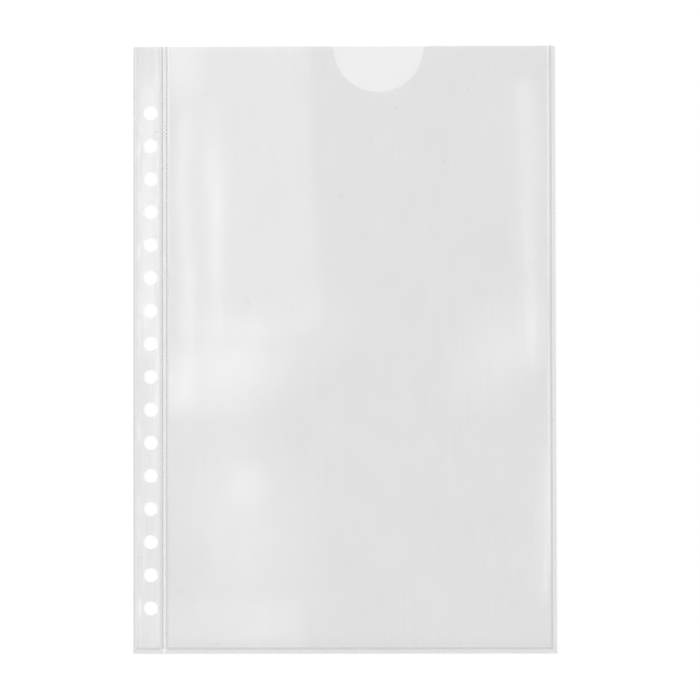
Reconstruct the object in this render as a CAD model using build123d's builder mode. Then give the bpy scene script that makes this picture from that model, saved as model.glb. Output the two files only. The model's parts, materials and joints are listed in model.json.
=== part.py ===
"""Clear sheet protector: two soft vinyl films welded into a top-opening pocket beside a punched binding strip.

It lies flat with its front film up. X runs from the spine edge to the fore edge, Y from the foot to the open
mouth and Z from the back film to the front film. The origin is under the middle of the sheet.
"""

import math
import os

from build123d import *

# Films
film = 0.2  # thickness of one film
air_gap = 0.1  # between the two films of an empty pocket
panel_clearance = 0.1  # between the front film of the pocket and the welds that hold it

# Pocket
pocket_clear_width = 98.0  # between the welds
pocket_clear_height = 154.1  # from the foot weld to the open mouth
notch_radius = 11.6  # thumb notch in the front film
notch_drop = 0.2  # from the mouth edge down to the middle of the notch
notch_offset = 5.2  # from the middle of the pocket towards the fore edge
notch_corner_radius = 1.2  # where the notch runs out into the mouth edge

# Ring holes, on the pitch of three to the inch
hole_diameter = 3.6
hole_pitch = 25.4 / 3
hole_foot_margin = 11.6  # from the foot edge to the middle of the lowest hole
hole_mouth_margin = 14.0  # least distance from the middle of the highest hole to the mouth edge
hole_spine_land = 1.7  # film left between a hole and the spine weld
hole_seam_land = 0.6  # film left between a hole and the seam

# Edge welds: a squeezed-out bead along the films, a pressed land and a thin lip at the cut edge
bead_width = 0.35
bead_crown = 0.06  # of the bead above the films
bead_flank = 0.1  # width of the slope from the bead down to the land
land_height = 0.3  # pressed thickness, less than the films and the air between them
lip_width = 0.25
lip_crown = 0.06  # of the lip above the land
edge_land_width = 0.8  # at the fore edge and the foot
spine_land_width = 0.3  # at the spine edge

# Seam between the strip and the pocket: two beads with a thin crease between them
seam_bead_width = 0.7
crease_width = 0.6
crease_edge_thickness = 0.2  # where the crease meets the beads
crease_waist_thickness = 0.12  # along its middle, where it bends

# Heights
stack_height = 2 * film + air_gap
front_film_base = film + air_gap
crease_height = stack_height / 2  # middle of the crease, half way up the films

# Places across the sheet
edge_weld_width = bead_width + bead_flank + edge_land_width + lip_width
spine_weld_width = bead_width + bead_flank + spine_land_width + lip_width
strip_clear_width = hole_spine_land + hole_diameter + hole_seam_land
seam_width = 2 * seam_bead_width + crease_width
sheet_width = spine_weld_width + strip_clear_width + seam_width + pocket_clear_width + edge_weld_width
spine_edge = -sheet_width / 2
strip_start = spine_edge + spine_weld_width
strip_end = strip_start + strip_clear_width
crease_start = strip_end + seam_bead_width
crease_end = crease_start + crease_width
crease_middle = (crease_start + crease_end) / 2
pocket_start = crease_end + seam_bead_width
pocket_end = pocket_start + pocket_clear_width
pocket_middle = (pocket_start + pocket_end) / 2
fore_edge = pocket_end + edge_weld_width

# Places up the sheet
sheet_height = edge_weld_width + pocket_clear_height
foot_edge = -sheet_height / 2
films_foot = foot_edge + edge_weld_width
mouth_edge = films_foot + pocket_clear_height
films_middle = (films_foot + mouth_edge) / 2

# Row of ring holes
hole_line = strip_start + hole_spine_land + hole_diameter / 2
hole_count = 1 + math.floor((sheet_height - hole_foot_margin - hole_mouth_margin) / hole_pitch)
hole_places = [(hole_line, foot_edge + hole_foot_margin + row * hole_pitch) for row in range(hole_count)]


def section_plane(inner_border, outward):
    """Plane of a weld's section, with its x from the inner border outward and its y up through the films."""
    across = Vector(*outward)
    return Plane(origin=inner_border, x_dir=across, z_dir=across.cross(Vector(0, 0, 1)))


def edge_weld_line(land_width):
    """Outline of an edge weld: upright where the films end, then bead, flank, pressed land and lip."""
    land_start = bead_width + bead_flank
    lip_start = land_start + land_width
    cut_edge = lip_start + lip_width
    Polyline((0, stack_height), (0, 0), (cut_edge, 0), (cut_edge, land_height))
    ThreePointArc(
        (cut_edge, land_height),
        (lip_start + lip_width / 2, land_height + lip_crown),
        (lip_start, land_height),
    )
    Polyline((lip_start, land_height), (land_start, land_height), (bead_width, stack_height))
    ThreePointArc((bead_width, stack_height), (bead_width / 2, stack_height + bead_crown), (0, stack_height))


def seam_bead_line():
    """Outline of one bead of the seam, upright on both sides and crowned."""
    Polyline((0, stack_height), (0, 0), (seam_bead_width, 0), (seam_bead_width, stack_height))
    ThreePointArc(
        (seam_bead_width, stack_height),
        (seam_bead_width / 2, stack_height + bead_crown),
        (0, stack_height),
    )


def mitre(inner_corner, outer_corner, kept_side):
    """Upright plane through the corner of two welds, facing the one that is kept."""
    corner_line = Vector(*outer_corner) - Vector(*inner_corner)
    facing = corner_line.cross(Vector(0, 0, 1))
    if facing.dot(Vector(*kept_side)) < 0:
        facing = facing.reverse()
    return Plane(origin=inner_corner, z_dir=facing)


# Directions along the sheet
to_spine = (-1, 0, 0)
to_fore_edge = (1, 0, 0)
to_foot = (0, -1, 0)
to_mouth = (0, 1, 0)

# Corners where the welds meet
spine_corner = ((strip_start, films_foot, 0), (spine_edge, foot_edge, 0))
strip_seam_corner = ((strip_end, films_foot, 0), (crease_start, foot_edge, 0))
pocket_seam_corner = ((pocket_start, films_foot, 0), (crease_end, foot_edge, 0))
fore_corner = ((pocket_end, films_foot, 0), (fore_edge, foot_edge, 0))

# Binding strip: both films are punched with the row of ring holes
with BuildPart() as strip_back_film:
    with BuildSketch(Plane.XY):
        with Locations(((strip_start + strip_end) / 2, films_middle)):
            Rectangle(strip_clear_width, pocket_clear_height)
        with Locations(*hole_places):
            Circle(hole_diameter / 2, mode=Mode.SUBTRACT)
    extrude(amount=film)

with BuildPart() as strip_front_film:
    with BuildSketch(Plane.XY.offset(front_film_base)):
        with Locations(((strip_start + strip_end) / 2, films_middle)):
            Rectangle(strip_clear_width, pocket_clear_height)
        with Locations(*hole_places):
            Circle(hole_diameter / 2, mode=Mode.SUBTRACT)
    extrude(amount=film)

with BuildPart() as spine_edge_weld:
    with BuildSketch(section_plane((strip_start, foot_edge, 0), to_spine)):
        with BuildLine():
            edge_weld_line(spine_land_width)
        make_face()
    extrude(amount=sheet_height)
    split(bisect_by=mitre(*spine_corner, kept_side=to_mouth))

with BuildPart() as strip_foot_weld:
    with BuildSketch(section_plane((crease_start, films_foot, 0), to_foot)):
        with BuildLine():
            edge_weld_line(edge_land_width)
        make_face()
    extrude(amount=crease_start - spine_edge)
    split(bisect_by=mitre(*spine_corner, kept_side=to_fore_edge))
    split(bisect_by=mitre(*strip_seam_corner, kept_side=to_spine))

with BuildPart() as seam_strip_bead:
    with BuildSketch(section_plane((strip_end, mouth_edge, 0), to_fore_edge)):
        with BuildLine():
            seam_bead_line()
        make_face()
    extrude(amount=sheet_height)
    split(bisect_by=mitre(*strip_seam_corner, kept_side=to_mouth))

# Crease: a web that thins towards its middle, where the pocket folds against the strip
with BuildPart() as seam_crease:
    with BuildSketch(section_plane((crease_start, mouth_edge, 0), to_fore_edge)):
        with BuildLine():
            crease_top = crease_height + crease_edge_thickness / 2
            crease_base = crease_height - crease_edge_thickness / 2
            Line((0, crease_top), (0, crease_base))
            ThreePointArc(
                (0, crease_base),
                (crease_width / 2, crease_height - crease_waist_thickness / 2),
                (crease_width, crease_base),
            )
            Line((crease_width, crease_base), (crease_width, crease_top))
            ThreePointArc(
                (crease_width, crease_top),
                (crease_width / 2, crease_height + crease_waist_thickness / 2),
                (0, crease_top),
            )
        make_face()
    extrude(amount=sheet_height)

# Pocket: back film and its welds
with BuildPart() as seam_pocket_bead:
    with BuildSketch(section_plane((pocket_start, foot_edge, 0), to_spine)):
        with BuildLine():
            seam_bead_line()
        make_face()
    extrude(amount=sheet_height)
    split(bisect_by=mitre(*pocket_seam_corner, kept_side=to_mouth))

with BuildPart() as pocket_back_film:
    with BuildSketch(Plane.XY):
        with Locations((pocket_middle, films_middle)):
            Rectangle(pocket_clear_width, pocket_clear_height)
    extrude(amount=film)

with BuildPart() as fore_edge_weld:
    with BuildSketch(section_plane((pocket_end, mouth_edge, 0), to_fore_edge)):
        with BuildLine():
            edge_weld_line(edge_land_width)
        make_face()
    extrude(amount=sheet_height)
    split(bisect_by=mitre(*fore_corner, kept_side=to_mouth))

with BuildPart() as pocket_foot_weld:
    with BuildSketch(section_plane((fore_edge, films_foot, 0), to_foot)):
        with BuildLine():
            edge_weld_line(edge_land_width)
        make_face()
    extrude(amount=fore_edge - crease_end)
    split(bisect_by=mitre(*fore_corner, kept_side=to_spine))
    split(bisect_by=mitre(*pocket_seam_corner, kept_side=to_fore_edge))

# Front film of the pocket, free along the mouth, with the thumb notch
with BuildPart() as pocket_front_film:
    with BuildSketch(Plane.XY.offset(front_film_base)):
        with Locations((pocket_middle, films_middle + panel_clearance / 2)):
            Rectangle(pocket_clear_width - 2 * panel_clearance, pocket_clear_height - panel_clearance)
        with Locations((pocket_middle + notch_offset, mouth_edge - notch_drop)):
            Circle(notch_radius, mode=Mode.SUBTRACT)
    extrude(amount=film)
    notch_corners = pocket_front_film.edges().filter_by(Axis.Z).group_by(Axis.Y)[-1].sort_by(Axis.X)[1:-1]
    fillet(notch_corners, radius=notch_corner_radius)

pieces = {
    "strip_back_film": strip_back_film,
    "strip_front_film": strip_front_film,
    "spine_edge_weld": spine_edge_weld,
    "strip_foot_weld": strip_foot_weld,
    "seam_strip_bead": seam_strip_bead,
    "seam_crease": seam_crease,
    "seam_pocket_bead": seam_pocket_bead,
    "pocket_back_film": pocket_back_film,
    "fore_edge_weld": fore_edge_weld,
    "pocket_foot_weld": pocket_foot_weld,
    "pocket_front_film": pocket_front_film,
}

os.makedirs("parts", exist_ok=True)
for name, piece in pieces.items():
    piece.part.label = name
    export_step(piece.part, f"parts/{name}.step")
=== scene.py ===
"""Clear sheet protector lying flat on a pale floor, seen from above. Lengths are in metres."""

import json
import math

import bmesh
import bpy
import numpy as np
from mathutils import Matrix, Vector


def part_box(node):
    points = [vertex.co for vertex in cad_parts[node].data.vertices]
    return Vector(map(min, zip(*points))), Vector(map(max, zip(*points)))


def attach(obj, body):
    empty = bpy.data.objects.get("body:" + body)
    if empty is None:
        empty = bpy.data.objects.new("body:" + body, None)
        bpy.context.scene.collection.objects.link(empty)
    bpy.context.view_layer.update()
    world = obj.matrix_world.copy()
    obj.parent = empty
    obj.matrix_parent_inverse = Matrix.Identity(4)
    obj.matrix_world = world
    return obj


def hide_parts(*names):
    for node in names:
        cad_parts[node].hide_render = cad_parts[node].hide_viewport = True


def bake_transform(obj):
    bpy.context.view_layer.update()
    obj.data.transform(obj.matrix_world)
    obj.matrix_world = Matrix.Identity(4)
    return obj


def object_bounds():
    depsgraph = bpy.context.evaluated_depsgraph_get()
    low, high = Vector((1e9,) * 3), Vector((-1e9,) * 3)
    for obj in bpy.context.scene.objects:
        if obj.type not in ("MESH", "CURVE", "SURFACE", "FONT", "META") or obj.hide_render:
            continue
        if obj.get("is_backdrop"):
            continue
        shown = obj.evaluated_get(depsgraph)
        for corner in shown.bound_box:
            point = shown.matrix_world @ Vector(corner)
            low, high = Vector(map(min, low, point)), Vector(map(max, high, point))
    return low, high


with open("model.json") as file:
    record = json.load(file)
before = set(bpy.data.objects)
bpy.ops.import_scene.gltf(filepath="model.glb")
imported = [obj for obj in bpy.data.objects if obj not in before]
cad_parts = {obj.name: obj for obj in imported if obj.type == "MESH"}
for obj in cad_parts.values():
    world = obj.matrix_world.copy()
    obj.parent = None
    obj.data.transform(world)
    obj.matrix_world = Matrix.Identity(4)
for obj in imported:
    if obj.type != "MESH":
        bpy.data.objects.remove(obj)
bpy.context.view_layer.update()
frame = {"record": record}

MM = 0.001

# Sizes and places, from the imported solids
strip_low, strip_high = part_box("strip_back_film")
pocket_low, pocket_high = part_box("pocket_back_film")
crease_low, crease_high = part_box("seam_crease")
spine_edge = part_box("spine_edge_weld")[0].x
fore_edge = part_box("fore_edge_weld")[1].x
foot_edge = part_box("pocket_foot_weld")[0].y
front_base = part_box("pocket_front_film")[0].z
mouth_edge = pocket_high.y
films_foot = pocket_low.y
film_thickness = pocket_high.z - pocket_low.z
strip_start, strip_end = strip_low.x, strip_high.x
crease_start, crease_end = crease_low.x, crease_high.x
pocket_start, pocket_end = pocket_low.x, pocket_high.x
pocket_middle = (pocket_start + pocket_end) / 2
ring_holes = [mount for mount in frame["record"]["mounts"] if mount["kind"] == "bore"]
hole_radius = ring_holes[0]["dims"]["r_mm"] * MM
hole_line = ring_holes[0]["pos_m"][0]
hole_rows = sorted(mount["pos_m"][1] for mount in ring_holes)
hole_pitch = hole_rows[1] - hole_rows[0]

# Thumb notch in the front film
NOTCH_RADIUS = 11.6 * MM
NOTCH_DROP = 0.2 * MM
NOTCH_OFFSET = 5.2 * MM
NOTCH_CORNER = 1.2 * MM
notch_middle = pocket_middle + NOTCH_OFFSET
notch_reach = math.sqrt((NOTCH_RADIUS + NOTCH_CORNER) ** 2 - (NOTCH_CORNER - NOTCH_DROP) ** 2)
notch_touch = notch_reach * NOTCH_RADIUS / (NOTCH_RADIUS + NOTCH_CORNER)


def smooth(share):
    """Eases from 0 to 1 as the share goes from 0 to 1."""
    share = np.clip(share, 0.0, 1.0)
    return share * share * (3 - 2 * share)


# How the films lie. A swell is (middle x, middle y, reach x, reach y, lean, height), in millimetres
SWELLS = (
    (-26.0, -2.0, 9.0, 10.0, 0.2, 0.015),
    (36.0, 0.0, 10.0, 12.0, 0.2, 0.015),
    (8.0, 20.0, 14.0, 22.0, 0.3, 0.08),
    (12.0, -45.0, 15.0, 16.0, -0.3, 0.07),
)
# A shoulder stands along a side weld of the pocket: (weld's inner border, middle y, reach y, width of its
# rise, height), all but the first in millimetres
SHOULDERS = (
    (pocket_start, 64.0, 40.0, 0.5, 0.040),
    (pocket_end, 50.0, 34.0, 0.8, 0.050),
    (pocket_end, -30.0, 26.0, 0.8, 0.050),
)
SHOULDER_FALL = 25.0 * MM
# A slack wave is (length along x, length along y, phase, weight), lengths in millimetres
SLACK_WAVES = (
    (41.0, 130.0, 0.4, 1.0),
    (-66.0, 47.0, 1.9, 0.8),
    (29.0, -83.0, 3.1, 0.5),
    (90.0, 31.0, 5.2, 0.4),
)
SLACK_HEIGHT = 0.015 * MM
SLACK_REACH = 6.0 * MM
BACK_SLACK_HEIGHT = 0.012 * MM
BACK_SLACK_REACH = 15.0 * MM
BACK_SLACK_SHIFT = 20.0 * MM
# A buckle wave of the strip is (length along y, turn along x, phase, weight), in millimetres and radians
STRIP_WAVES = ((23.0, 0.0, 0.8, 1.0), (9.1, 0.3, 0.0, 0.6))
STRIP_BUCKLE = 0.008 * MM
STRIP_BUCKLE_REACH = 1.5 * MM
STRIP_FLAT_END = 12.0 * MM


def slack(x, y):
    """Sum of the slack waves, from -1 to 1."""
    total = 0.0
    whole = sum(weight for _, _, _, weight in SLACK_WAVES)
    for long_x, long_y, phase, weight in SLACK_WAVES:
        total = total + weight / whole * np.sin(2 * math.pi * (x / long_x + y / long_y) / MM + phase)
    return total


def freedom(x, y, reach):
    """How free a film of the pocket is, from 0 at its welds to 1 beyond their reach."""
    to_side = np.minimum(x - pocket_start, pocket_end - x)
    return smooth(to_side / reach) * smooth((y - films_foot) / reach)


def front_film_lift(x, y):
    """How far the front film lies above where its welds hold it: slack waves, swells and shoulders."""
    lift = SLACK_HEIGHT * slack(x, y)
    for middle_x, middle_y, reach_x, reach_y, lean, height in SWELLS:
        up = y / MM - middle_y
        across = (x / MM - middle_x - lean * up) / reach_x
        lift = lift + height * MM * np.exp(-(across**2) - (up / reach_y) ** 2)
    lift = freedom(x, y, SLACK_REACH) * lift
    for border, middle_y, reach_y, rise, height in SHOULDERS:
        to_weld = np.abs(x - border)
        along = np.exp(-(((y / MM - middle_y) / reach_y) ** 2))
        across = smooth(to_weld / (rise * MM)) * np.exp(-to_weld / SHOULDER_FALL)
        lift = lift + height * MM * along * across
    return lift


def back_film_lift(x, y):
    """How far the back film lies above the floor."""
    return freedom(x, y, BACK_SLACK_REACH) * BACK_SLACK_HEIGHT * (1 + slack(x + BACK_SLACK_SHIFT, -y))


def strip_lift(x, y):
    """How far a film of the strip is buckled up between the ring holes. It lies flat at the mouth."""
    free = smooth(np.minimum(x - strip_start, strip_end - x) / STRIP_BUCKLE_REACH)
    free = free * smooth((mouth_edge - y) / STRIP_FLAT_END)
    buckle = 0.0
    for long, lean, phase, weight in STRIP_WAVES:
        buckle = buckle + weight * (1 + np.sin(2 * math.pi * y / (long * MM) + lean * x / MM + phase))
    return free * STRIP_BUCKLE * buckle


# Meshes
SHARP_ANGLE = math.radians(45)


def new_piece(name, points, faces):
    """An object in the scene with a mesh of the given points and faces."""
    mesh = bpy.data.meshes.new(name)
    mesh.from_pydata(np.asarray(points).tolist(), [], faces)
    piece = bpy.data.objects.new(name, mesh)
    bpy.context.scene.collection.objects.link(piece)
    return piece


def finish_mesh(piece):
    """Turns the faces outward and shades them smooth between creases."""
    shape = bmesh.new()
    shape.from_mesh(piece.data)
    bmesh.ops.recalc_face_normals(shape, faces=shape.faces)
    shape.to_mesh(piece.data)
    shape.free()
    piece.data.shade_smooth()
    piece.data.set_sharp_from_angle(angle=SHARP_ANGLE)


def mark(piece, values):
    """Keeps at each point how hazy the welded vinyl is and how much painted shade it takes, for its material.
    """
    attribute = piece.data.attributes.new("haze_and_shade", "FLOAT", "POINT")
    attribute.data.foreach_set("value", np.asarray(values, np.float32).reshape(-1))


def places_of(piece):
    """The points of a piece, one row each."""
    places = np.empty(3 * len(piece.data.vertices), np.float32)
    piece.data.vertices.foreach_get("co", places)
    return places.reshape(-1, 3).astype(float)


def grid_faces(first, wide, high):
    """Faces of a grid of points that starts at the first one and is so many points wide and high."""
    corners = [first + row * wide + column for row in range(high - 1) for column in range(wide - 1)]
    return [(corner, corner + 1, corner + wide + 1, corner + wide) for corner in corners]


def thicken(piece):
    """Gives an open surface the film's thickness, upward."""
    solid = piece.modifiers.new("thickness", "SOLIDIFY")
    solid.thickness = film_thickness
    solid.offset = 1
    bpy.context.view_layer.update()
    made = piece.evaluated_get(bpy.context.evaluated_depsgraph_get())
    mesh = bpy.data.meshes.new_from_object(made)
    piece.modifiers.clear()
    piece.data = mesh
    finish_mesh(piece)


FINE_STEP = 0.16 * MM
FINE_REACH = 2.4 * MM
EASE_REACH = 7 * MM


def graded(start, end, step, fine_ends=(False, False)):
    """Places from start to end, about a step apart, and closer together near an end that is called fine."""
    places = [start]
    while places[-1] < end:
        near = [abs(places[-1] - place) for place, fine in zip((start, end), fine_ends) if fine]
        ease = min(1.0, max(0.0, min(near) - FINE_REACH) / EASE_REACH) if near else 1.0
        places.append(places[-1] + FINE_STEP + (step - FINE_STEP) * ease)
    stretch = (end - start) / (places[-1] - start)
    return [start + (place - start) * stretch for place in places]


# Films of the pocket
GRID_STEP = 1.6 * MM
NOTCH_STEPS = 72
NOTCH_CORNER_STEPS = 8
NOTCH_DRAW = 36 * MM
# Painted shade on the films just above the foot weld, and a darkening towards the mouth
PAINTED_FOOT_SHADE = 0.03
PAINTED_FOOT_SHADE_REACH = 4.0 * MM
PAINTED_SHADE_LINE = 0.02
PAINTED_SHADE_LINE_PLACE = 1.05 * MM
PAINTED_SHADE_LINE_WIDTH = 0.35 * MM
MOUTH_DARKENING_FULL = 4.0 * MM
MOUTH_DARKENING_REACH = 12.0 * MM
STRIP_MOUTH_DARKENING = 0.045


def mark_ends(piece, mouth_darkening=0.0):
    """Films take painted shade above the foot weld, with a faint painted shade line where they bulge up from
    it, and may be darker towards the mouth too.
    """
    to_foot = places_of(piece)[:, 1] - films_foot
    line = np.exp(-(((to_foot - PAINTED_SHADE_LINE_PLACE) / PAINTED_SHADE_LINE_WIDTH) ** 2))
    foot = PAINTED_FOOT_SHADE * smooth(1 - to_foot / PAINTED_FOOT_SHADE_REACH) + PAINTED_SHADE_LINE * line
    to_mouth = mouth_edge - films_foot - to_foot
    mouth = smooth((MOUTH_DARKENING_REACH - to_mouth) / (MOUTH_DARKENING_REACH - MOUTH_DARKENING_FULL))
    mark(piece, foot + mouth_darkening * mouth)


def mouth_line(x):
    """Upper edge of the front film: the mouth, or the notch with its eased corners."""
    away = np.abs(x - notch_middle)
    arc = NOTCH_DROP + np.sqrt(np.maximum(NOTCH_RADIUS**2 - away**2, 0))
    corner = NOTCH_CORNER - np.sqrt(np.maximum(NOTCH_CORNER**2 - (notch_reach - away) ** 2, 0))
    depth = np.where(away < notch_touch, arc, np.where(away < notch_reach, corner, 0.0))
    return mouth_edge - depth


def notch_columns():
    """Places across the notch, evenly spaced along its edge."""
    turn = math.asin(notch_touch / NOTCH_RADIUS)
    arc = [NOTCH_RADIUS * math.sin(turn * (2 * k / NOTCH_STEPS - 1)) for k in range(NOTCH_STEPS + 1)]
    corner = [
        notch_reach - NOTCH_CORNER * math.sin(turn * (1 - k / NOTCH_CORNER_STEPS))
        for k in range(1, NOTCH_CORNER_STEPS + 1)
    ]
    return [notch_middle + away for away in [-away for away in reversed(corner)] + arc + corner]


def film(name, columns, rows, lift, base, upper_edge=None):
    """A film on a grid of columns and rows. The rows are drawn down to a notched upper edge."""
    x, y = np.meshgrid(columns, rows)
    if upper_edge is not None:
        drawn = np.clip(1 - (mouth_edge - y) / NOTCH_DRAW, 0, 1)
        y = y - drawn * (mouth_edge - upper_edge(x))
    points = np.stack([x, y, base + lift(x, y)], axis=-1).reshape(-1, 3)
    faces = grid_faces(0, len(columns), len(rows))
    piece = new_piece(name, points, faces)
    thicken(piece)
    mark_ends(piece)
    return piece


film_rows = graded(films_foot, mouth_edge, GRID_STEP, (True, False))
back_columns = graded(pocket_start, pocket_end, GRID_STEP, (True, True))
pocket_back = film("pocket_back_sheet", back_columns, film_rows, back_film_lift, pocket_low.z)

# The front film bows open between its side welds, so it is parted along the middle of the pocket
across_notch = notch_columns()
parting = min(range(len(across_notch)), key=lambda k: abs(across_notch[k] - pocket_middle))
across_notch[parting] = pocket_middle
left_columns = graded(pocket_start, across_notch[0], GRID_STEP, (True, False)) + across_notch[1 : parting + 1]
right_columns = across_notch[parting:-1] + graded(across_notch[-1], pocket_end, GRID_STEP, (False, True))
front_shape = (film_rows, front_film_lift, front_base, mouth_line)
front_left = film("pocket_front_sheet_left", left_columns, *front_shape)
front_right = film("pocket_front_sheet_right", right_columns, *front_shape)

# Films of the binding strip, with rings of faces round each hole
HOLE_POINTS = 64
HOLE_RINGS = 4
HOLE_RING_POWER = 1.4  # above 1, the rings stand closer together at the hole
LEAST_SLANT = 1e-9
BORDER_TOLERANCE = 0.0001 * MM
MERGE_DISTANCE = 0.002 * MM
STRIP_END_STEP = 0.8 * MM


def hole_rings(row):
    """Rings of points from the edge of a ring hole out to its share of the strip."""
    low = (strip_start, row - hole_pitch / 2)
    high = (strip_end, row + hole_pitch / 2)
    turns = [2 * math.pi * k / HOLE_POINTS - math.pi for k in range(HOLE_POINTS)]
    for x in (low[0], high[0]):
        for y in (low[1], high[1]):
            corner = math.atan2(y - row, x - hole_line)
            nearest = min(range(HOLE_POINTS), key=lambda k: abs(turns[k] - corner))
            turns[nearest] = corner
    directions = np.array([(math.cos(turn), math.sin(turn)) for turn in turns])
    far = np.where(directions > 0, np.array(high), np.array(low)) - (hole_line, row)
    with np.errstate(divide="ignore"):
        border = np.min(np.where(np.abs(directions) > LEAST_SLANT, far / directions, np.inf), axis=1)
    shares = (np.arange(HOLE_RINGS + 1) / HOLE_RINGS) ** HOLE_RING_POWER
    reach = hole_radius + shares[:, None] * (border - hole_radius)
    return (hole_line, row) + reach[..., None] * directions


def strip_film(name, base):
    """A film of the strip: a cell round each ring hole and a plain grid at each end."""
    points, faces = [], []
    for row in hole_rows:
        rings = hole_rings(row)
        first = len(points)
        points.extend(rings.reshape(-1, 2))
        for inner in range(first, first + HOLE_RINGS * HOLE_POINTS, HOLE_POINTS):
            outer = inner + HOLE_POINTS
            for k in range(HOLE_POINTS):
                after = (k + 1) % HOLE_POINTS
                faces.append((inner + k, outer + k, outer + after, inner + after))
    cells_foot = hole_rows[0] - hole_pitch / 2
    cells_head = hole_rows[-1] + hole_pitch / 2
    border = rings[-1]
    columns = np.sort(border[border[:, 1] > cells_head - BORDER_TOLERANCE][:, 0])
    for low, high in ((films_foot, cells_foot), (cells_head, mouth_edge)):
        rows = graded(low, high, STRIP_END_STEP)
        faces.extend(grid_faces(len(points), len(columns), len(rows)))
        points.extend(np.array((x, y)) for y in rows for x in columns)
    flat = np.array(points)
    heights = base + strip_lift(flat[:, 0], flat[:, 1])
    piece = new_piece(name, np.column_stack([flat, heights]), faces)
    shape = bmesh.new()
    shape.from_mesh(piece.data)
    bmesh.ops.remove_doubles(shape, verts=shape.verts, dist=MERGE_DISTANCE)
    for face in shape.faces:
        face.normal_update()
        if face.normal.z < 0:
            face.normal_flip()
    shape.to_mesh(piece.data)
    shape.free()
    thicken(piece)
    mark_ends(piece, STRIP_MOUTH_DARKENING)
    return piece


strip_back = strip_film("strip_back_sheet", strip_low.z)
strip_front = strip_film("strip_front_sheet", front_base)

# Welds: a section carried along each run. A section point is (share of the width from the films to the cut
# edge, height in millimetres, haze of the welded vinyl there with painted shade for its dark lines)
EDGE_SECTION = (
    (0.00, 0.50, 0.30),
    (0.05, 0.545, 0.55),
    (0.12, 0.56, 0.90),
    (0.20, 0.555, 1.00),
    (0.30, 0.50, 0.85),
    (0.38, 0.37, 0.40),
    (0.45, 0.30, 0.02),
    (0.56, 0.30, 0.00),
    (0.63, 0.305, 0.50),
    (0.72, 0.33, 0.62),
    (0.80, 0.355, 0.30),
    (0.88, 0.36, 0.06),
    (0.95, 0.34, 0.15),
    (1.00, 0.28, 0.60),
)
SPINE_SECTION = (
    (0.00, 0.50, 0.00),
    (0.18, 0.55, 0.00),
    (0.36, 0.54, 0.02),
    (0.50, 0.42, 0.40),
    (0.63, 0.33, 1.10),
    (0.76, 0.30, 0.60),
    (0.89, 0.30, 0.20),
    (1.00, 0.27, 0.40),
)
STRIP_BEAD_SECTION = (
    (0.00, 0.50, 0.35),
    (0.14, 0.545, 0.60),
    (0.34, 0.56, 0.50),
    (0.56, 0.558, 0.50),
    (0.76, 0.55, 0.80),
    (0.87, 0.53, 1.40),
    (0.95, 0.50, 1.75),
    (1.00, 0.44, 1.75),
)
POCKET_BEAD_SECTION = (
    (0.00, 0.50, 0.15),
    (0.10, 0.535, 0.45),
    (0.26, 0.555, 1.00),
    (0.48, 0.56, 1.60),
    (0.66, 0.55, 0.90),
    (0.84, 0.53, 0.05),
    (1.00, 0.48, 0.00),
)
UNDERSIDE_SINK = 0.035 * MM
KNURL_PITCH = 1.0 * MM
KNURL_PITCH_ACROSS = 1.1 * MM
KNURL_HEIGHT = 0.03 * MM
KNURL_STEPS = 6
KNURL_SHADE = 1.8
# Stretches of the welds where the knurl is strong: (middle y, reach y, strength), lengths in millimetres
KNURL_STRETCHES = ((77.0, 2.5, 0.2), (58.0, 10.0, 0.36), (20.0, 50.0, 0.32))
KNURL_FAINT = 0.12
KNURL_PATCH_PITCH = 9.3 * MM
KNURL_PATCH_SHARE = 0.45
EDGE_KNURL = 0.5
SEAM_KNURL = 1.0
SEAM_FADE_START = 0.45 * MM
SEAM_FADE = 0.3 * MM


def knurl(x, y):
    """Fine diamonds that the welding bar leaves in patches, from -1 to 1, stronger in some stretches."""
    strength = KNURL_FAINT
    for middle, reach, more in KNURL_STRETCHES:
        strength = strength + more * np.exp(-(((y / MM - middle) / reach) ** 2))
    patch = 1 - KNURL_PATCH_SHARE + KNURL_PATCH_SHARE * np.cos(2 * math.pi * y / KNURL_PATCH_PITCH)
    diamonds = np.cos(2 * math.pi * y / KNURL_PITCH) * np.cos(2 * math.pi * x / KNURL_PITCH_ACROSS)
    return strength * patch * diamonds


def closed_run(name, loops, shades):
    """A closed bar from equal loops of points, one after the other, with its ends closed."""
    steps, around = loops.shape[0] - 1, loops.shape[1]
    half = around // 2
    faces = []
    for step in range(steps):
        here, there = step * around, (step + 1) * around
        for k in range(around):
            after = (k + 1) % around
            faces.append((here + k, here + after, there + after, there + k))
    for end in (0, steps * around):
        for k in range(half - 1):
            faces.append((end + k, end + k + 1, end + around - 2 - k, end + around - 1 - k))
    piece = new_piece(name, loops.reshape(-1, 3), faces)
    mark(piece, shades)
    finish_mesh(piece)
    return piece


def seam_fade(y):
    """How much the seam's lines show, from 0 to 1. They fade out where the foot welds cross the seam."""
    return smooth((y - films_foot + SEAM_FADE_START) / SEAM_FADE)


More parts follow.
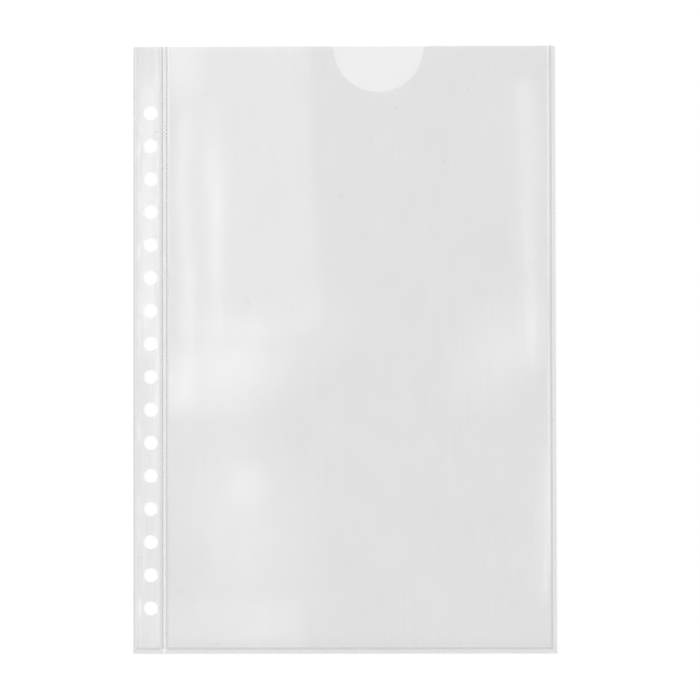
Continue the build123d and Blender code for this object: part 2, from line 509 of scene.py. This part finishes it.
def weld(name, section, inner, outer, knurled=EDGE_KNURL, fade=None):
    """A weld between its inner and its outer border, mitred at an end where these differ."""
    (inner_first, inner_last), (outer_first, outer_last) = np.array(inner), np.array(outer)
    shares, heights, haze_and_shade = np.array(section).T
    length = np.linalg.norm(inner_last - inner_first)
    steps = round(length / KNURL_PITCH * KNURL_STEPS)
    along = np.linspace(0, 1, steps + 1)[:, None]
    first = inner_first + shares[:, None] * (outer_first - inner_first)
    last = inner_last + shares[:, None] * (outer_last - inner_last)
    flat = first + along[..., None] * (last - first)
    ridges = knurled * knurl(flat[..., 0], flat[..., 1])
    held = np.sin(math.pi * shares)
    top = heights * MM + KNURL_HEIGHT / 2 * held * ridges
    under = np.broadcast_to(UNDERSIDE_SINK * held, top.shape)
    upper = np.dstack([flat, top])
    lower = np.dstack([flat, under])[:, ::-1]
    # Real haze of the welded vinyl and painted shade of the dark weld lines, with the knurl's diamonds
    shade = np.maximum(haze_and_shade + KNURL_SHADE * ridges, 0)
    if fade is not None:
        shade = shade * fade(flat[..., 1])
    return closed_run(name, np.hstack([upper, lower]), np.hstack([shade, shade[:, ::-1]]))


def side_weld(name, section, inner_x, outer_x, knurled=EDGE_KNURL, fade=None):
    """A weld that runs up the sheet, from the mouth to the foot."""
    inner = ((inner_x, mouth_edge), (inner_x, films_foot))
    outer = ((outer_x, mouth_edge), (outer_x, foot_edge))
    return weld(name, section, inner, outer, knurled, fade)


def seam_bead(name, section, film_x, crease_x):
    """A bead of the seam, between a film and the crease."""
    return side_weld(name, section, film_x, crease_x, SEAM_KNURL, seam_fade)


def foot_weld(name, inner_xs, outer_xs):
    """A weld along the foot."""
    inner = tuple((x, films_foot) for x in inner_xs)
    outer = tuple((x, foot_edge) for x in outer_xs)
    return weld(name, EDGE_SECTION, inner, outer)


spine_weld = side_weld("spine_edge_weld_run", SPINE_SECTION, strip_start, spine_edge)
strip_bead = seam_bead("seam_strip_bead_run", STRIP_BEAD_SECTION, strip_end, crease_start)
pocket_bead = seam_bead("seam_pocket_bead_run", POCKET_BEAD_SECTION, pocket_start, crease_end)
fore_weld = side_weld("fore_edge_weld_run", EDGE_SECTION, pocket_end, fore_edge)
strip_foot = foot_weld("strip_foot_weld_run", (strip_start, strip_end), (spine_edge, crease_start))
pocket_foot = foot_weld("pocket_foot_weld_run", (pocket_start, pocket_end), (crease_end, fore_edge))

# Crease of the seam. Its haze and painted shade are strongest on the strip's side and fade toward the
# pocket's side
CREASE_WAIST = 0.12 * MM
CREASE_HAZE_AND_SHADE = (1.6, 0.9, 0.45, 0.15) + 7 * (0.0,)
crease_height = (crease_low.z + crease_high.z) / 2


def crease_web(name):
    """A thin web between the beads of the seam, waisted along its middle."""
    across = np.linspace(0, 1, len(CREASE_HAZE_AND_SHADE))
    steps = round((mouth_edge - foot_edge) / KNURL_PITCH * KNURL_STEPS)
    columns = crease_start + across * (crease_end - crease_start)
    x, y = np.meshgrid(columns, np.linspace(mouth_edge, foot_edge, steps + 1))
    edge = crease_high.z - crease_low.z
    half = CREASE_WAIST / 2 + (edge - CREASE_WAIST) / 2 * (2 * across - 1) ** 2
    ridges = knurl(x, y)
    top = crease_height + half + KNURL_HEIGHT / 2 * np.sin(math.pi * across) * ridges
    under = crease_height - np.broadcast_to(half, top.shape)
    upper = np.dstack([x, y, top])
    lower = np.dstack([x, y, under])[:, ::-1]
    # Painted shade in the crease, darkest on the strip's side, with the knurl's diamonds
    shade = np.maximum(np.array(CREASE_HAZE_AND_SHADE) + KNURL_SHADE * ridges, 0) * seam_fade(y)
    return closed_run(name, np.hstack([upper, lower]), np.hstack([shade, shade[:, ::-1]]))


crease = crease_web("seam_crease_web")


# Materials
def add_node(tree, kind, **settings):
    """A new node with its settings."""
    made = tree.nodes.new(kind)
    for key, value in settings.items():
        setattr(made, key, value)
    return made


def feed(tree, sockets, values):
    """Links each socket to the output that is its value, or sets it to a constant."""
    for socket, value in zip(sockets, values):
        if isinstance(value, bpy.types.NodeSocket):
            tree.links.new(value, socket)
        else:
            socket.default_value = value


def set_inputs(tree, made, **inputs):
    """Feeds a node's inputs by name, with _ for a space."""
    feed(tree, [made.inputs[key.replace("_", " ")] for key in inputs], inputs.values())


def calculate(tree, operation, *values):
    """The result of a sum, product or the like."""
    made = add_node(tree, "ShaderNodeMath", operation=operation)
    feed(tree, made.inputs, values)
    return made.outputs[0]


def noise(tree, place, scale, detail):
    """A noise of the given scale and detail."""
    made = add_node(tree, "ShaderNodeTexNoise")
    set_inputs(tree, made, Vector=place, Scale=scale, Detail=detail)
    return made.outputs["Fac"]


NOISE_RANGE = (0.3, 0.7)


def remap(tree, value, low, high, known=NOISE_RANGE):
    """Carries a value from its known range, mostly that of a noise, to the range from low to high."""
    made = add_node(tree, "ShaderNodeMapRange")
    set_inputs(tree, made, Value=value, From_Min=known[0], From_Max=known[1], To_Min=low, To_Max=high)
    return made.outputs["Result"]


def spread(tree, value, middle, share):
    """Carries a noise to the range that goes from the middle up and down by a share of it."""
    return remap(tree, value, (1 - share) * middle, (1 + share) * middle)


def mix(tree, share, first, second):
    """The first shader, and the second by its share."""
    made = add_node(tree, "ShaderNodeMixShader")
    feed(tree, made.inputs, (share, first, second))
    return made.outputs[0]


def new_material(name):
    """A material with no nodes yet, and its node tree."""
    material = bpy.data.materials.new(name)
    material.use_nodes = True
    material.node_tree.nodes.clear()
    return material, material.node_tree


def set_surface(tree, shader):
    """Gives a material its surface."""
    feed(tree, add_node(tree, "ShaderNodeOutputMaterial").inputs, (shader,))


# Each noise is (scale, detail)
CLOUD = (60.0, 3.0)
PEEL = (240.0, 2.0)
GRAIN = (1600.0, 2.0)
DUST = (800.0, 1.0)
DRAWN_LINES = (2000.0, 1.0)
DRAWN_STRETCH = (1, 1 / 40, 1)
HAZE_SPREAD = 0.3
GRAIN_SPREAD = 0.25
DUST_RANGE = (0.745, 0.805)
DUST_HAZE = 0.045
PEEL_STRENGTH = 0.025
PEEL_DEPTH = 0.1 * MM
VINYL_IOR = 1.53
HEAD_ON_MIRROR = 0.04
SLANT_POWER = 5.0


def vinyl_haze_and_shade(tree, haze, drawn_haze, haze_and_shade_scale, cloud):
    """Share of the light that vinyl scatters into grey: a cloudy haze, more of it where the welds and films
    carry haze and painted shade, dust, and fine lines along the way the film was drawn."""
    place = add_node(tree, "ShaderNodeTexCoord").outputs["Object"]
    drawn = add_node(tree, "ShaderNodeVectorMath", operation="MULTIPLY")
    feed(tree, drawn.inputs, (place, DRAWN_STRETCH))
    haze_and_shade = add_node(tree, "ShaderNodeAttribute", attribute_name="haze_and_shade").outputs["Fac"]
    grain = spread(tree, noise(tree, place, *GRAIN), haze_and_shade_scale, GRAIN_SPREAD)
    dust = remap(tree, noise(tree, place, *DUST), 0.0, DUST_HAZE, DUST_RANGE)
    lines = remap(tree, noise(tree, drawn.outputs["Vector"], *DRAWN_LINES), 0.0, drawn_haze)
    scattered = calculate(tree, "MULTIPLY_ADD", haze_and_shade, grain, spread(tree, cloud, haze, HAZE_SPREAD))
    scattered = calculate(tree, "ADD", scattered, dust)
    return calculate(tree, "ADD", scattered, lines)


def clear_vinyl(name, tint, grey, haze, drawn_haze, haze_and_shade_scale, rough):
    """Soft clear vinyl. Each face passes most light, mirrors a little of it head on and more at a slant, and
    scatters into a grey the share that its haze and its painted shade give."""
    material, tree = new_material(name)
    place = add_node(tree, "ShaderNodeTexCoord").outputs["Object"]
    cloud = noise(tree, place, *CLOUD)
    gloss_rough = remap(tree, cloud, *rough)
    bump = add_node(tree, "ShaderNodeBump")
    set_inputs(tree, bump, Strength=PEEL_STRENGTH, Distance=PEEL_DEPTH, Height=noise(tree, place, *PEEL))
    facing = add_node(tree, "ShaderNodeLayerWeight").outputs["Facing"]
    slant = calculate(tree, "POWER", facing, SLANT_POWER)
    mirrored = calculate(tree, "MULTIPLY_ADD", slant, 1 - HEAD_ON_MIRROR, HEAD_ON_MIRROR)

    clear = add_node(tree, "ShaderNodeBsdfTransparent")
    set_inputs(tree, clear, Color=(*tint, 1))
    body = add_node(tree, "ShaderNodeBsdfPrincipled")
    set_inputs(tree, body, Base_Color=(*grey, 1), IOR=VINYL_IOR)
    gloss = add_node(tree, "ShaderNodeBsdfGlossy")
    for shader in (body, gloss):
        set_inputs(tree, shader, Roughness=gloss_rough, Normal=bump.outputs["Normal"])

    scattered = vinyl_haze_and_shade(tree, haze, drawn_haze, haze_and_shade_scale, cloud)
    hazy = mix(tree, scattered, clear.outputs[0], body.outputs[0])
    set_surface(tree, mix(tree, mirrored, hazy, gloss.outputs[0]))
    return material


# Greys that the haze scatters into; where shade is painted, on welds, crease and films, it darkens toward
# them
FILM_GREY = (0.52, 0.52, 0.525)
FILM_HAZE_AND_SHADE_SCALE = 0.25
WELD_GREY = (0.2, 0.2, 0.205)
WELD_HAZE_AND_SHADE_SCALE = 0.115
WELD_ROUGH = (0.14, 0.26)
front_vinyl = clear_vinyl(
    "clear_front_film",
    tint=(0.982, 0.982, 0.983),
    grey=FILM_GREY,
    haze=0.009,
    drawn_haze=0.006,
    haze_and_shade_scale=FILM_HAZE_AND_SHADE_SCALE,
    rough=(0.034, 0.046),
)
back_vinyl = clear_vinyl(
    "clear_back_film",
    tint=(0.970, 0.970, 0.971),
    grey=FILM_GREY,
    haze=0.009,
    drawn_haze=0.006,
    haze_and_shade_scale=FILM_HAZE_AND_SHADE_SCALE,
    rough=(0.048, 0.062),
)
strip_vinyl = clear_vinyl(
    "clear_strip_film",
    tint=(0.984, 0.984, 0.985),
    grey=FILM_GREY,
    haze=0.006,
    drawn_haze=0.014,
    haze_and_shade_scale=FILM_HAZE_AND_SHADE_SCALE,
    rough=(0.06, 0.085),
)
weld_vinyl = clear_vinyl(
    "pressed_weld",
    tint=(0.965, 0.965, 0.966),
    grey=WELD_GREY,
    haze=0.010,
    drawn_haze=0.008,
    haze_and_shade_scale=WELD_HAZE_AND_SHADE_SCALE,
    rough=WELD_ROUGH,
)
seam_vinyl = clear_vinyl(
    "pressed_seam",
    tint=(0.985, 0.985, 0.986),
    grey=WELD_GREY,
    haze=0.008,
    drawn_haze=0.008,
    haze_and_shade_scale=WELD_HAZE_AND_SHADE_SCALE,
    rough=WELD_ROUGH,
)


# What each piece is made of, stands for and moves with
def dress(piece, material, solid):
    """Gives a piece its material and slot, and puts it in a solid's place."""
    piece.data.materials.clear()
    piece.data.materials.append(material)
    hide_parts(solid)


for piece, solid in ((strip_back, "strip_back_film"), (strip_front, "strip_front_film")):
    dress(piece, strip_vinyl, solid)
    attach(piece, "binding_strip")
for piece, material, solid in (
    (spine_weld, weld_vinyl, "spine_edge_weld"),
    (strip_foot, weld_vinyl, "strip_foot_weld"),
    (strip_bead, seam_vinyl, "seam_strip_bead"),
):
    dress(piece, material, solid)
    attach(piece, "binding_strip")
for piece, material, solid in (
    (pocket_bead, seam_vinyl, "seam_pocket_bead"),
    (fore_weld, weld_vinyl, "fore_edge_weld"),
    (pocket_foot, weld_vinyl, "pocket_foot_weld"),
):
    dress(piece, material, solid)
    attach(piece, "pocket")
dress(pocket_back, back_vinyl, "pocket_back_film")
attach(pocket_back, "pocket")

# The crease and the two halves of the front film get their material and keep their places, tied to no body
dress(crease, seam_vinyl, "seam_crease")
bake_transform(crease)
for half, weld_x in ((front_left, pocket_start), (front_right, pocket_end)):
    dress(half, front_vinyl, "pocket_front_film")
    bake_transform(half)

# Floor
FLOOR_SIZE = 2.0
FLOOR_DROP = 0.1 * MM
FLOOR_GREY = (0.8, 0.8, 0.8)
FLOOR_LIFT = 0.25
FLOOR_CORNERS = ((-1, -1), (1, -1), (1, 1), (-1, 1))
floor_points = [(x * FLOOR_SIZE / 2, y * FLOOR_SIZE / 2, -FLOOR_DROP) for x, y in FLOOR_CORNERS]
floor = new_piece("floor", floor_points, [(0, 1, 2, 3)])
floor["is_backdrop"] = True


def seen_directly(tree):
    """One for rays that come from the camera, from a mirror or through glass, and zero for light."""
    rays = add_node(tree, "ShaderNodeLightPath").outputs
    seen = calculate(tree, "MAXIMUM", rays["Is Camera Ray"], rays["Is Glossy Ray"])
    return calculate(tree, "MAXIMUM", seen, rays["Is Transmission Ray"])


floor_material, tree = new_material("pale_floor")
paper = add_node(tree, "ShaderNodeBsdfDiffuse")
set_inputs(tree, paper, Color=(*FLOOR_GREY, 1))
glow = add_node(tree, "ShaderNodeEmission")
set_inputs(tree, glow, Strength=calculate(tree, "MULTIPLY", seen_directly(tree), FLOOR_LIFT))
both = add_node(tree, "ShaderNodeAddShader")
feed(tree, both.inputs, (paper.outputs[0], glow.outputs[0]))
set_surface(tree, both.outputs[0])
floor.data.materials.append(floor_material)

# Light: an even room, a key light, and soft boxes, cards and tubes overhead that the films mirror
ROOM_LEVEL = 0.69
world = bpy.data.worlds.new("room")
world.use_nodes = True
tree = world.node_tree
level = calculate(tree, "MULTIPLY_ADD", seen_directly(tree), 1 - ROOM_LEVEL, ROOM_LEVEL)
set_inputs(tree, tree.nodes["Background"], Color=(1, 1, 1, 1), Strength=level)
bpy.context.scene.world = world

CEILING = 0.8
LAMP_STEP = 0.0005
LAYER_CORE = 0.5  # the last layer is one step between layers in size, and this share of a step more
# Each lamp is (name, shape, middle x, middle y, wide, high, turn in degrees, radiance, layers). Layers lie
# one over the other, each smaller than the one before, and make a soft border
LAMPS = (
    ("left_box", "RECTANGLE", -0.325, 0.020, 0.280, 0.600, 0, 1.20, 1),
    ("right_box", "RECTANGLE", 0.325, 0.020, 0.280, 0.600, 0, 1.20, 1),
    ("upper_card", "RECTANGLE", -0.084, 0.142, 0.103, 0.240, 0, 0.42, 1),
    ("upper_end", "ELLIPSE", -0.130, 0.224, 0.040, 0.070, 0, 0.60, 3),
    ("left_slant", "ELLIPSE", -0.070, 0.005, 0.170, 0.090, 30, 0.26, 4),
    ("left_patch", "ELLIPSE", -0.100, -0.001, 0.105, 0.084, 10, 0.90, 5),
    ("left_end", "ELLIPSE", -0.135, -0.018, 0.016, 0.050, 0, 0.50, 2),
    ("left_tube", "RECTANGLE", -0.127, 0.077, 0.009, 0.222, 0, 0.72, 1),
    ("inner_tube", "ELLIPSE", -0.104, 0.106, 0.016, 0.180, 0, 0.75, 2),
    ("right_patch", "ELLIPSE", 0.110, 0.011, 0.112, 0.074, 42, 0.44, 4),
    ("right_tube", "RECTANGLE", 0.129, 0.106, 0.010, 0.215, 2, 0.62, 1),
    ("corner_tube", "ELLIPSE", 0.141, -0.122, 0.008, 0.120, 0, 1.20, 1),
    ("lower_glow", "ELLIPSE", -0.090, -0.118, 0.220, 0.115, -74, 0.56, 5),
    ("lower_patch", "ELLIPSE", -0.081, -0.089, 0.040, 0.040, 0, 0.45, 3),
    ("foot_card", "RECTANGLE", -0.095, -0.196, 0.110, 0.036, 0, 0.30, 1),
    ("strip_tube", "ELLIPSE", -0.157, 0.105, 0.026, 0.210, 0, 0.90, 1),
    ("strip_top", "ELLIPSE", -0.151, 0.212, 0.011, 0.056, 0, 0.50, 1),
    ("strip_low", "ELLIPSE", -0.148, -0.056, 0.010, 0.110, 0, 0.60, 1),
)
KEY_PLACE = (-0.7, 0.6, 0.9)
KEY_TURN = (-33.7, -37.9, 0.0)
KEY_SIZE = 1.3
KEY_RADIANCE = 0.96


def area_light(name, shape, place, wide, high, radiance):
    """An area lamp of an even radiance, facing down."""
    lamp = bpy.data.lights.new(name, "AREA")
    lamp.shape = shape
    lamp.size = wide
    lamp.size_y = high
    area = wide * high * (math.pi / 4 if shape == "ELLIPSE" else 1)
    lamp.energy = radiance * math.pi * area
    light = bpy.data.objects.new(name, lamp)
    light.location = place
    bpy.context.scene.collection.objects.link(light)
    return light


lamp_height = CEILING
for name, shape, x, y, wide, high, turn, radiance, layers in LAMPS:
    for layer in range(layers):
        share = 1 - layer / (layers + LAYER_CORE)
        lamp = area_light(name, shape, (x, y, lamp_height), wide * share, high * share, radiance / layers)
        lamp.rotation_euler.z = math.radians(turn)
        lamp_height += LAMP_STEP
key = area_light("key", "ELLIPSE", KEY_PLACE, KEY_SIZE, KEY_SIZE, KEY_RADIANCE)
key.rotation_euler = [math.radians(turn) for turn in KEY_TURN]

# Camera, over the middle of the sheet
CAMERA_PLACE = (0.00457, -0.00564, 0.42376)
CAMERA_TURN = (0.7387, 0.4242, -0.1220)
CAMERA_LENS = 85
CAMERA_SENSOR = 36
CAMERA_NEAR = 0.01
camera_data = bpy.data.cameras.new("camera")
camera_data.lens = CAMERA_LENS
camera_data.sensor_width = CAMERA_SENSOR
camera_data.clip_start = CAMERA_NEAR
camera = bpy.data.objects.new("camera", camera_data)
camera.location = CAMERA_PLACE
camera.rotation_euler = [math.radians(turn) for turn in CAMERA_TURN]
bpy.context.scene.collection.objects.link(camera)

MOST_FACES_PASSED = 48  # by a ray through the films
scene = bpy.context.scene
scene.camera = camera
scene.view_settings.view_transform = "Standard"
scene.cycles.transparent_max_bounces = MOST_FACES_PASSED

low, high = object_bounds()
